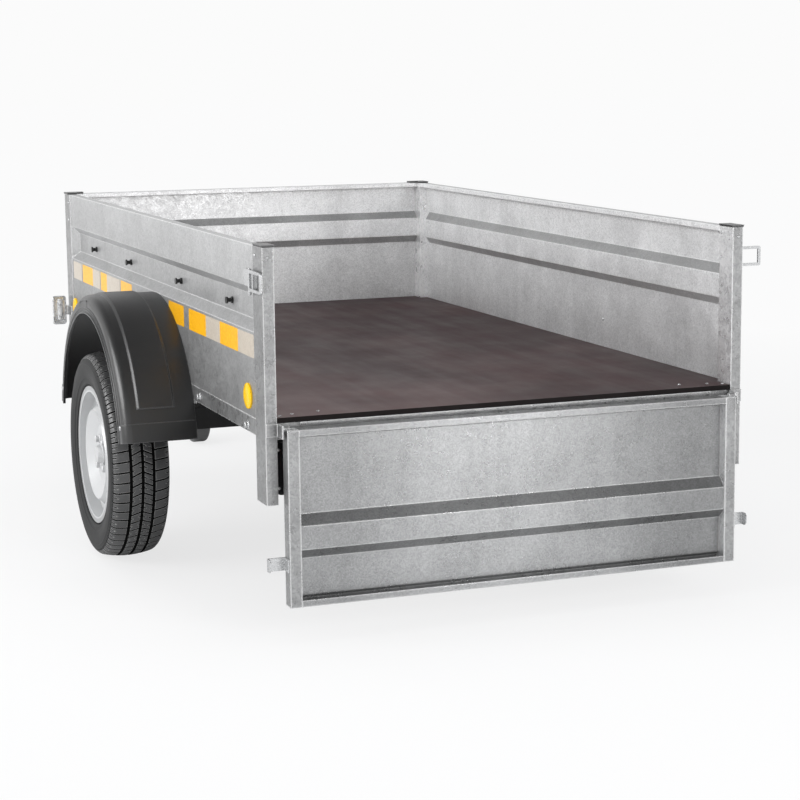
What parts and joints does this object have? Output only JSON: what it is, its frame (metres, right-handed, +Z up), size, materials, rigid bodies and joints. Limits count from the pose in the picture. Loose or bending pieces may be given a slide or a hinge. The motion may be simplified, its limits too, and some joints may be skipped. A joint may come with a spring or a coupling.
{
  "type": "utility trailer",
  "caption": "Single-axle utility trailer with a ribbed galvanised steel box, phenolic floor, plastic mudguards, drop-down tailgate, ball coupling and jockey wheel.",
  "frame": {"origin": "on the ground, at the middle of the overall length and width", "axes": "+X forward to the coupling, +Y to the left side, +Z up"},
  "size_m": [3.0943, 1.582, 0.898],
  "materials": {
    "galvanised_steel": "hot-dip galvanised, fine mottled spangle, satin",
    "galvanised_sheet": "galvanised sheet, small spangle, dull satin",
    "phenolic_board": "dark brown phenolic film on plywood, black sealed edge",
    "black_plastic": "moulded black plastic, satin with a fine grain",
    "peg_plastic": "black plastic cover pegs",
    "tyre_rubber": "black rubber, dull",
    "wheel_steel": "silver painted pressed steel",
    "hub_metal": "zinc plated hub and grease cap",
    "black_axle": "black painted axle steel",
    "zinc_fittings": "bright zinc plated steel",
    "coupling_steel": "dark coated pressed steel",
    "amber_lens": "amber reflector lens",
    "clear_lens": "clear ribbed lens",
    "red_lens": "red lens on a black housing"
  },
  "bodies": {
    "trailer": {"axle_beam": "black_axle", "axle_mounts": "galvanised_steel", "coupling_head": "coupling_steel", "coupling_lever": "zinc_fittings", "cover_pegs": "peg_plastic", "cross_member_front": "galvanised_steel", "cross_member_rear": "galvanised_steel", "cross_members_middle": "galvanised_steel", "drawbar": "galvanised_steel", "drawbar_straps": "galvanised_steel", "floor_board": "phenolic_board", "front_panel": "galvanised_sheet", "hinge_plates": "galvanised_steel", "jack_clamp": "zinc_fittings", "jack_crank": "zinc_fittings", "jack_outer_tube": "zinc_fittings", "lamp_brackets": "galvanised_steel", "latch_left": "zinc_fittings", "latch_right": "zinc_fittings", "marker_brackets": "galvanised_steel", "marker_lamps": "clear_lens", "mudguard_left": "black_plastic", "mudguard_right": "black_plastic", "post_caps": "black_plastic", "post_front_left": "galvanised_steel", "post_front_right": "galvanised_steel", "post_rear_left": "galvanised_steel", "post_rear_right": "galvanised_steel", "side_panel_left": "galvanised_sheet", "side_panel_right": "galvanised_sheet", "side_rail_left": "galvanised_steel", "side_rail_right": "galvanised_steel", "side_reflectors": "amber_lens", "swing_arm_left": "black_axle", "swing_arm_right": "black_axle", "tail_lamps": "red_lens"},
    "tailgate": {"tailgate_panel": "galvanised_sheet", "tailgate_frame": "galvanised_steel", "tailgate_hooks": "zinc_fittings"},
    "wheel_left": {"tyre_left": "tyre_rubber", "rim_left": "wheel_steel", "hub_left": "hub_metal"},
    "wheel_right": {"tyre_right": "tyre_rubber", "rim_right": "wheel_steel", "hub_right": "hub_metal"},
    "jack_leg": {"jack_inner_tube": "zinc_fittings"},
    "jack_fork": {"jack_fork": "zinc_fittings"},
    "jack_wheel": {"jack_wheel_rim": "zinc_fittings", "jack_tyre": "tyre_rubber"}
  },
  "joints": [
    {"name": "wheel_left_spin", "type": "hinge", "parent": "trailer", "child": "wheel_left", "pos_m": [-0.5245, 0.7135, 0.2735], "axis": [0, 1, 0], "continuous": true},
    {"name": "wheel_right_spin", "type": "hinge", "parent": "trailer", "child": "wheel_right", "pos_m": [-0.5245, -0.7135, 0.2735], "axis": [0, 1, 0], "continuous": true},
    {"name": "tailgate_hinge", "type": "hinge", "parent": "trailer", "child": "tailgate", "pos_m": [-1.5265, 0, 0.491], "axis": [0, 1, 0], "range_deg": [-2, 179.82]},
    {"name": "jack_height", "type": "slide", "parent": "trailer", "child": "jack_leg", "axis": [0, 0, 1], "range_m": [-0.12, 0.14]},
    {"name": "jack_swivel", "type": "hinge", "parent": "jack_leg", "child": "jack_fork", "pos_m": [1.0185, 0.092, 0.235], "axis": [0, 0, 1], "continuous": true},
    {"name": "jack_wheel_spin", "type": "hinge", "parent": "jack_fork", "child": "jack_wheel", "pos_m": [0.9805, 0.092, 0.1], "axis": [0, 1, 0], "continuous": true}
  ]
}
